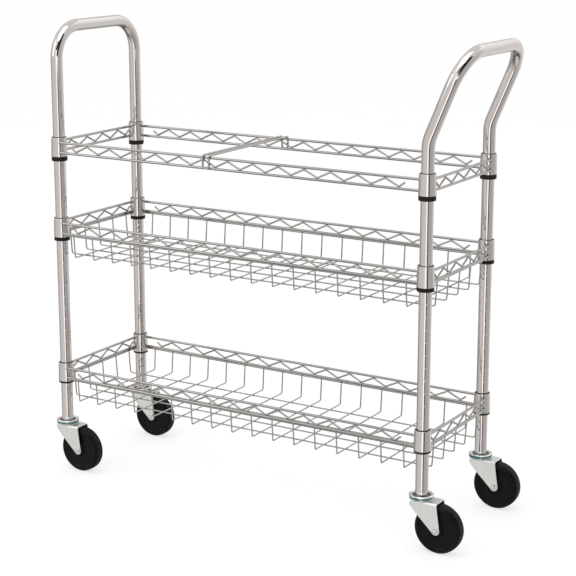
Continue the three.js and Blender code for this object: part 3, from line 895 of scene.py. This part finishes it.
class CART_OT_crossbar(bpy.types.Operator):
    """Crossbar: one wire bent into a long loop that hooks over the upper rails"""
    bl_idname = "file_cart.crossbar"
    bl_label = "Crossbar"

    def execute(self, context):
        wires = context.scene.cart_wires
        low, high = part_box("file_crossbar")
        inset = Vector((1, 1, 1)) * wires.crossbar / 2
        low, high = low + inset, high - inset
        corners = [
            (high.x, high.y, high.z), (high.x, high.y, low.z),
            (low.x, high.y, low.z), (low.x, high.y, high.z),
            (low.x, low.y, high.z), (low.x, low.y, low.z),
            (high.x, low.y, low.z), (high.x, low.y, high.z),
        ]
        bend = high.z - (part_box("upper_side_front")[1].z - wires.rail / 2)
        bar = wire("crossbar_loop", [corners], wires.crossbar / 2, bend, closed=True)
        place_piece(bar, "crossbar", ["file_crossbar"])
        return {"FINISHED"}


def fork_half_width(corner):
    """Half the outside width of a fork, whose legs run close beside the wheel's hub."""
    low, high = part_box(f"caster_wheel_{corner}")
    scene = bpy.context.scene
    return (high.y - low.y) / 2 + scene.cart_corners.seat_gap + scene.cart_casters.plate


class CART_OT_caster_races(bpy.types.Operator):
    """Caster stems with their upper race and kingpin, and the lower races on the forks"""
    bl_idname = "file_cart.caster_races"
    bl_label = "Caster races"

    def execute(self, context):
        casters = context.scene.cart_casters
        pin, head, race = casters.kingpin_radius, casters.kingpin_head, casters.race_radius
        tube, gap = context.scene.cart_tubes.diameter / 2, context.scene.cart_corners.seat_gap
        for corner in CORNERS:
            low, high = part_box(f"caster_stem_{corner}")
            fork_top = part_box(f"caster_fork_{corner}")[1].z
            race_low = POST_LOW.z - casters.upper_race - gap
            race_top = race_low + casters.upper_race
            head_top = low.z + casters.head_height
            stem = turned(f"caster_stem_ring_{corner}", filleted([
                (0, high.z),
                (0, low.z),
                (head, low.z, 1.2 * MM),
                (head, head_top, 0.5 * MM),
                (pin, head_top),
                (pin, race_low),
                (race - 1.2 * MM, race_low, 0.4 * MM),
                (race, race_low + 0.8 * MM, 0.5 * MM),
                (race, race_low + 2.4 * MM, 1 * MM),
                (race - 2.2 * MM, race_low + 4 * MM, 1 * MM),
                (race - 5 * MM, race_low + 3 * MM, 0.8 * MM),
                (tube + 3 * MM, race_low + 1.4 * MM, 0.8 * MM),
                (tube - gap, race_low + 1.4 * MM),
                (tube - gap, race_top),
                (pin, race_top),
                (pin, high.z, 1 * MM),
            ]), post_axis(corner), finish_of(blue_zinc), casters.steps)
            place_piece(stem, "cart_frame", [f"caster_stem_{corner}"])
            plate_top = fork_top - casters.lower_race
            ring = turned(f"caster_lower_race_{corner}", filleted([
                (pin + gap, fork_top),
                (pin + gap, plate_top - 0.5 * MM),
                (race - 1.5 * MM, plate_top - 0.5 * MM, 0.3 * MM),
                (race - 0.6 * MM, plate_top + 1.2 * MM, 0.9 * MM),
                (race - 1.6 * MM, plate_top + 2.2 * MM, 0.6 * MM),
                (race - 0.4 * MM, plate_top + 3.2 * MM, 0.6 * MM),
                (race - 0.8 * MM, fork_top, 0.4 * MM),
            ]), post_axis(corner), finish_of(blue_zinc), casters.steps)
            place_piece(ring, f"caster_{corner}")
        return {"FINISHED"}


class CART_OT_forks(bpy.types.Operator):
    """Caster forks: sheet pressed into a roof and two tapering legs"""
    bl_idname = "file_cart.forks"
    bl_label = "Caster forks"

    def execute(self, context):
        for corner in CORNERS:
            fork = self.channel(corner, context.scene.cart_casters)
            cutter = self.outline(corner, context.scene.cart_casters)
            trim = fork.modifiers.new("trim", "BOOLEAN")
            trim.operation = "INTERSECT"
            trim.solver = "EXACT"
            trim.object = cutter
            edge = fork.modifiers.new("edge", "BEVEL")
            edge.width = context.scene.cart_casters.plate_edge
            edge.segments = 2
            edge.limit_method = "ANGLE"
            edge.angle_limit = BEVEL_ANGLE
            bake(fork)
            bpy.data.objects.remove(cutter)
            place_piece(fork, f"caster_{corner}", [f"caster_fork_{corner}"])
        return {"FINISHED"}

    def channel(self, corner, casters):
        """The folded sheet before its legs are trimmed, drawn in at its front edge."""
        low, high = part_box(f"caster_fork_{corner}")
        axis = post_axis(corner)
        top = high.z - casters.lower_race
        half = fork_half_width(corner)
        foot = low.z - casters.fork_boss
        under, bend = top - casters.plate, casters.plate_bend
        rings = []
        for along, reach in (
            (-2 * casters.fork_front, half - 2 * casters.fork_nose),
            (-casters.fork_front * 0.25, half),
            (3 * casters.fork_back, half),
        ):
            inner = reach - casters.plate
            section = filleted([
                (-reach, foot), (-reach, top, bend), (reach, top, bend), (reach, foot),
                (inner, foot), (inner, under, bend - casters.plate),
                (-inner, under, bend - casters.plate), (-inner, foot),
            ], steps=6)
            rings.append([(axis.x + along, axis.y + y, z) for y, z in section])
        return lofted(f"caster_fork_plate_{corner}", rings, finish_of(bright_zinc))

    def outline(self, corner, casters):
        """A block with the fork's side outline: a roof, sloping front edges and rounded ends at the axle."""
        low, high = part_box(f"caster_fork_{corner}")
        axis = post_axis(corner)
        top = high.z - casters.lower_race
        axle_low, axle_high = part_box(f"caster_axle_{corner}")
        axle = (axle_low + axle_high) / 2
        boss, trail = casters.fork_boss, axle.x - axis.x
        front, back = -casters.fork_front, casters.fork_back
        lip = top - casters.plate - casters.fork_lip
        above = top + 1 * MM
        points = [(front, above), (back, above)]
        # The rounded end runs round the axle from the back edge to the front edge
        for degrees in range(8, -153, -10):
            angle = math.radians(degrees)
            points.append((trail + boss * math.cos(angle), axle.z + boss * math.sin(angle)))
        points.append((front, lip, 3 * MM))
        outline = filleted(points)
        depth = high.y - low.y
        rings = [[(axis.x + x, axis.y + y, z) for x, z in outline] for y in (-depth, depth)]
        return lofted("outline", rings)


class CART_OT_axles(bpy.types.Operator):
    """Axles: rivets with a rolled ring head on each side of the fork"""
    bl_idname = "file_cart.axles"
    bl_label = "Axles"

    def execute(self, context):
        casters = context.scene.cart_casters
        for corner in CORNERS:
            low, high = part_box(f"caster_axle_{corner}")
            middle = (low + high) / 2
            seat = fork_half_width(corner)
            end = (high.y - low.y) / 2
            shaft, head = casters.axle_radius, (high.z - low.z) / 2
            half = [
                (shaft, seat, 0.2 * MM),
                (head, seat, 0.2 * MM),
                (head, end - 1.2 * MM, 0.5 * MM),
                (head - 1 * MM, end - 0.8 * MM, 0.4 * MM),
                (head - 1.4 * MM, seat + 0.3 * MM, 0.3 * MM),
                (head - 2.4 * MM, seat + 0.3 * MM, 0.3 * MM),
                (head - 2.8 * MM, end - 0.2 * MM, 0.5 * MM),
                (head - 4 * MM, end, 0.8 * MM),
                (0, end),
            ]
            profile = filleted(mirrored(half) + half, steps=3)
            steps = casters.steps // 2
            rivet = turned(
                f"caster_rivet_{corner}", profile, middle, finish_of(bright_zinc), steps, along="Y")
            place_piece(rivet, f"caster_{corner}", [f"caster_axle_{corner}"])
        return {"FINISHED"}


class CART_OT_wheels(bpy.types.Operator):
    """Wheels: hard rubber with a crowned tread, a raised rim, a flat web and a hub boss"""
    bl_idname = "file_cart.wheels"
    bl_label = "Wheels"

    def execute(self, context):
        casters = context.scene.cart_casters
        for corner in CORNERS:
            low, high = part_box(f"caster_wheel_{corner}")
            middle = (low + high) / 2
            radius = (high.z - low.z) / 2
            hub = (high.y - low.y) / 2
            half_width = casters.wheel_width / 2
            web = half_width - casters.web_recess
            bore = casters.axle_radius + casters.bore_gap
            rim = radius - casters.tyre_depth
            half = [
                (bore, hub, 0.4 * MM),
                (casters.hub_radius, hub, 1.4 * MM),
                (casters.hub_radius + 2.4 * MM, web, 2.2 * MM),
                (rim - 1 * MM, web, 1.6 * MM),
                (rim + 1.6 * MM, half_width - 0.5 * MM, 1.2 * MM),
                (radius - 6.2 * MM, half_width, 0.6 * MM),
                (radius - 5.4 * MM, half_width - 0.9 * MM, 0.5 * MM),
                (radius - 4.2 * MM, half_width - 0.8 * MM, 0.6 * MM),
                (radius - 0.6 * MM, half_width - 4.6 * MM, 2.6 * MM),
                (radius, half_width * 0.35, 6 * MM),
            ]
            profile = filleted(half + mirrored(half), steps=5)
            wheel = turned(
                f"rubber_wheel_{corner}", profile, middle, finish_of(hard_rubber), casters.steps, along="Y")
            place_piece(wheel, f"wheel_{corner}", [f"caster_wheel_{corner}"])
        return {"FINISHED"}


class CART_OT_hidden_fittings(bpy.types.Operator):
    """Plugs and sockets inside the tubes: the construction solids with their own finishes"""
    bl_idname = "file_cart.hidden_fittings"
    bl_label = "Hidden fittings"

    def execute(self, context):
        for corner in CORNERS:
            for fitting, maker in (("joiner_plug", bright_zinc), ("stem_socket", socket_nylon)):
                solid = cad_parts[f"{fitting}_{corner}"]
                solid.data.materials.clear()
                solid.data.materials.append(finish_of(maker))
        return {"FINISHED"}


# Surroundings

class CART_OT_stage(bpy.types.Operator):
    """Floor, white surroundings, lamps, reflection cards and the camera"""
    bl_idname = "file_cart.stage"
    bl_label = "Stage"

    def execute(self, context):
        stage = context.scene.cart_stage
        context.scene.view_settings.view_transform = "Standard"
        self.camera(context, stage)
        self.surroundings(context, stage)
        self.floor(stage)
        self.reflections(stage)
        self.lamps(stage)
        return {"FINISHED"}

    def camera(self, context, stage):
        data = bpy.data.cameras.new("camera")
        data.lens = stage.focal_length
        data.sensor_width = 36.0
        data.shift_y = stage.shift
        camera = bpy.data.objects.new("camera", data)
        camera.location = stage.camera_place
        camera.rotation_euler = (math.pi / 2 - stage.camera_pitch, 0.0, stage.camera_yaw)
        context.scene.collection.objects.link(camera)
        context.scene.camera = camera

    def seen(self, paint):
        """1 where the camera, a mirror or a clear piece shows it, and 0 for light on dull surfaces."""
        kinds = ("Is Camera Ray", "Is Glossy Ray", "Is Transmission Ray")
        camera, glossy, clear = (paint.node("ShaderNodeLightPath", output=kind) for kind in kinds)
        return paint.node("ShaderNodeClamp", {}, {"Value": camera + glossy + clear})

    def surroundings(self, context, stage):
        world = bpy.data.worlds.new("white_room")
        world.use_nodes = True
        world.node_tree.nodes.clear()
        paint = Field(world.node_tree)
        level = stage.room_light + self.seen(paint) * (1.0 - stage.room_light)
        light = paint.node("ShaderNodeBackground", {}, {"Color": WHITE, "Strength": level})
        paint.node("ShaderNodeOutputWorld", {}, {"Surface": light})
        context.scene.world = world

    def floor(self, stage):
        material, paint = new_paint("white_floor")
        speckle = clouds(place_on_piece(paint), 3.0, 2.0)
        colour = mixed(speckle, (0.90, 0.90, 0.90, 1.0), (0.92, 0.92, 0.92, 1.0))
        dull = paint.node("ShaderNodeBsdfDiffuse", {}, {"Color": colour})
        glow = paint.node("ShaderNodeEmission", {}, {"Color": WHITE, "Strength": 1.12})
        share = self.seen(paint) * stage.floor_glow
        surface = paint.node("ShaderNodeMixShader", {}, {0: share, 1: dull, 2: glow})
        paint.node("ShaderNodeOutputMaterial", {}, {"Surface": surface})
        disc = bmesh.new()
        bmesh.ops.create_circle(disc, cap_ends=True, cap_tris=True, segments=96, radius=stage.floor_radius)
        floor = new_piece("floor", mesh_of("floor", disc), material)
        floor.visible_glossy = False

    def around(self, stage, degrees, distance, height):
        """A point round the cart, measured to the right of the camera's direction."""
        angle = stage.camera_yaw + math.radians(degrees)
        return Vector((math.sin(angle) * distance, -math.cos(angle) * distance, height))

    def reflections(self, stage):
        """A ring of card round the room, which only the bright metal shows, and cards in front of it.

        Each row is an angle to the right of the camera's direction, then the card's level low down, at the
        height of the cart and high up. A corner of a card is an angle to the right and one upwards.
        """
        rows = (
            (-180, 0.12, 0.50, 0.95), (-150, 0.10, 0.55, 1.10), (-115, 0.10, 0.55, 1.30),
            (-95, 0.15, 0.85, 1.30), (-45, 0.60, 0.95, 1.50), (-14, 0.70, 0.95, 1.50),
            (-10, 0.70, 1.75, 1.50), (7, 0.70, 1.75, 1.40), (8.5, 0.10, 0.02, 1.00),
            (22, 0.10, 0.02, 1.00), (24, 0.75, 0.60, 1.00), (60, 0.75, 0.62, 1.00),
            (95, 0.60, 0.70, 1.10), (114, 0.30, 0.98, 1.50), (150, 0.10, 0.95, 1.60),
            (166, 0.10, 0.60, 1.20), (180, 0.12, 0.50, 0.95),
        )
        heights = (-20.0, -9.5, -3.7, 0.9, 8.0)
        points, faces, values = [], [], []
        for index, (degrees, low, middle, high) in enumerate(rows):
            points += [self.around(stage, degrees, stage.card_distance, height) for height in heights]
            values += [low, low, middle, middle, high]
            if index:
                corner = len(heights) * index
                for row in range(len(heights) - 1):
                    before = corner - len(heights) + row
                    faces.append((before, before + 1, corner + row + 1, corner + row))
        self.card("card_ring", points, faces, values)
        before_ring = 0.2
        near = stage.card_distance - before_ring
        for name, level, corners in (
            ("card_dark", 0.02, ((3, 13), (26, 9), (62, 28), (68, 40), (50, 54), (22, 44))),
            ("card_dark_left", 0.02, ((-20, 28), (2, 24), (22, 44), (14, 50), (-16, 38))),
            ("card_spark", 1.8, ((2, 2), (24, 0), (26, 7), (3, 11))),
        ):
            points = []
            for degrees, rise in corners:
                height = near * math.tan(math.radians(rise))
                points.append(self.around(stage, degrees, near, height))
            self.card(name, points, [tuple(range(len(points)))], [level] * len(points))

    def card(self, name, points, faces, levels):
        """A glowing card with a level at each of its points, which only reflections show."""
        mesh = drawn(name, points, faces=faces)
        mesh.attributes.new("level", "FLOAT", "POINT").data.foreach_set("value", levels)
        material, paint = new_paint(name)
        light = paint.node("ShaderNodeEmission", {}, {"Color": WHITE, "Strength": stored(paint, "level")})
        paint.node("ShaderNodeOutputMaterial", {}, {"Surface": light})
        card = new_piece(name, mesh, material)
        card.visible_camera = False
        card.visible_diffuse = False
        card.visible_shadow = False

    def lamps(self, stage):
        heart = Vector((0, 0, 0.5))
        for name, degrees, distance, height, width, tall, power in (
            ("top_lamp", -20.0, 0.8, 3.4, 2.6, 2.6, 26.0),
            ("left_lamp", -75.0, 3.0, 1.9, 1.2, 1.8, 8.0),
        ):
            data = bpy.data.lights.new(name, "AREA")
            data.shape = "RECTANGLE"
            data.size = width
            data.size_y = tall
            data.energy = power
            lamp = bpy.data.objects.new(name, data)
            lamp.location = self.around(stage, degrees, distance, height)
            lamp.rotation_euler = (heart - lamp.location).to_track_quat("-Z", "Y").to_euler()
            bpy.context.scene.collection.objects.link(lamp)


OPERATORS = (
    CART_OT_stage,
    CART_OT_posts,
    CART_OT_handles,
    CART_OT_collars,
    CART_OT_sleeves,
    CART_OT_sides,
    CART_OT_baskets,
    CART_OT_crossbar,
    CART_OT_caster_races,
    CART_OT_forks,
    CART_OT_axles,
    CART_OT_wheels,
    CART_OT_hidden_fittings,
)


class CART_PT_sidebar(bpy.types.Panel):
    """Lists the cart's settings and the pieces that can be built"""
    bl_idname = "CART_PT_sidebar"
    bl_label = "File cart"
    bl_space_type = "VIEW_3D"
    bl_region_type = "UI"
    bl_category = "File cart"

    def draw(self, context):
        for operator in OPERATORS:
            self.layout.operator(operator.bl_idname)
        for name, group in SETTINGS.items():
            box = self.layout.box()
            for setting in group.__annotations__:
                box.prop(getattr(context.scene, name), setting)


CLASSES = (*SETTINGS.values(), *OPERATORS, CART_PT_sidebar)


def register():
    for each in CLASSES:
        bpy.utils.register_class(each)
    for name, group in SETTINGS.items():
        setattr(bpy.types.Scene, name, PointerProperty(type=group))


def unregister():
    for name in SETTINGS:
        delattr(bpy.types.Scene, name)
    for each in reversed(CLASSES):
        bpy.utils.unregister_class(each)


def main():
    register()
    for operator in OPERATORS:
        group, action = operator.bl_idname.split(".")
        getattr(getattr(bpy.ops, group), action)()


if __name__ == "__main__":
    main()
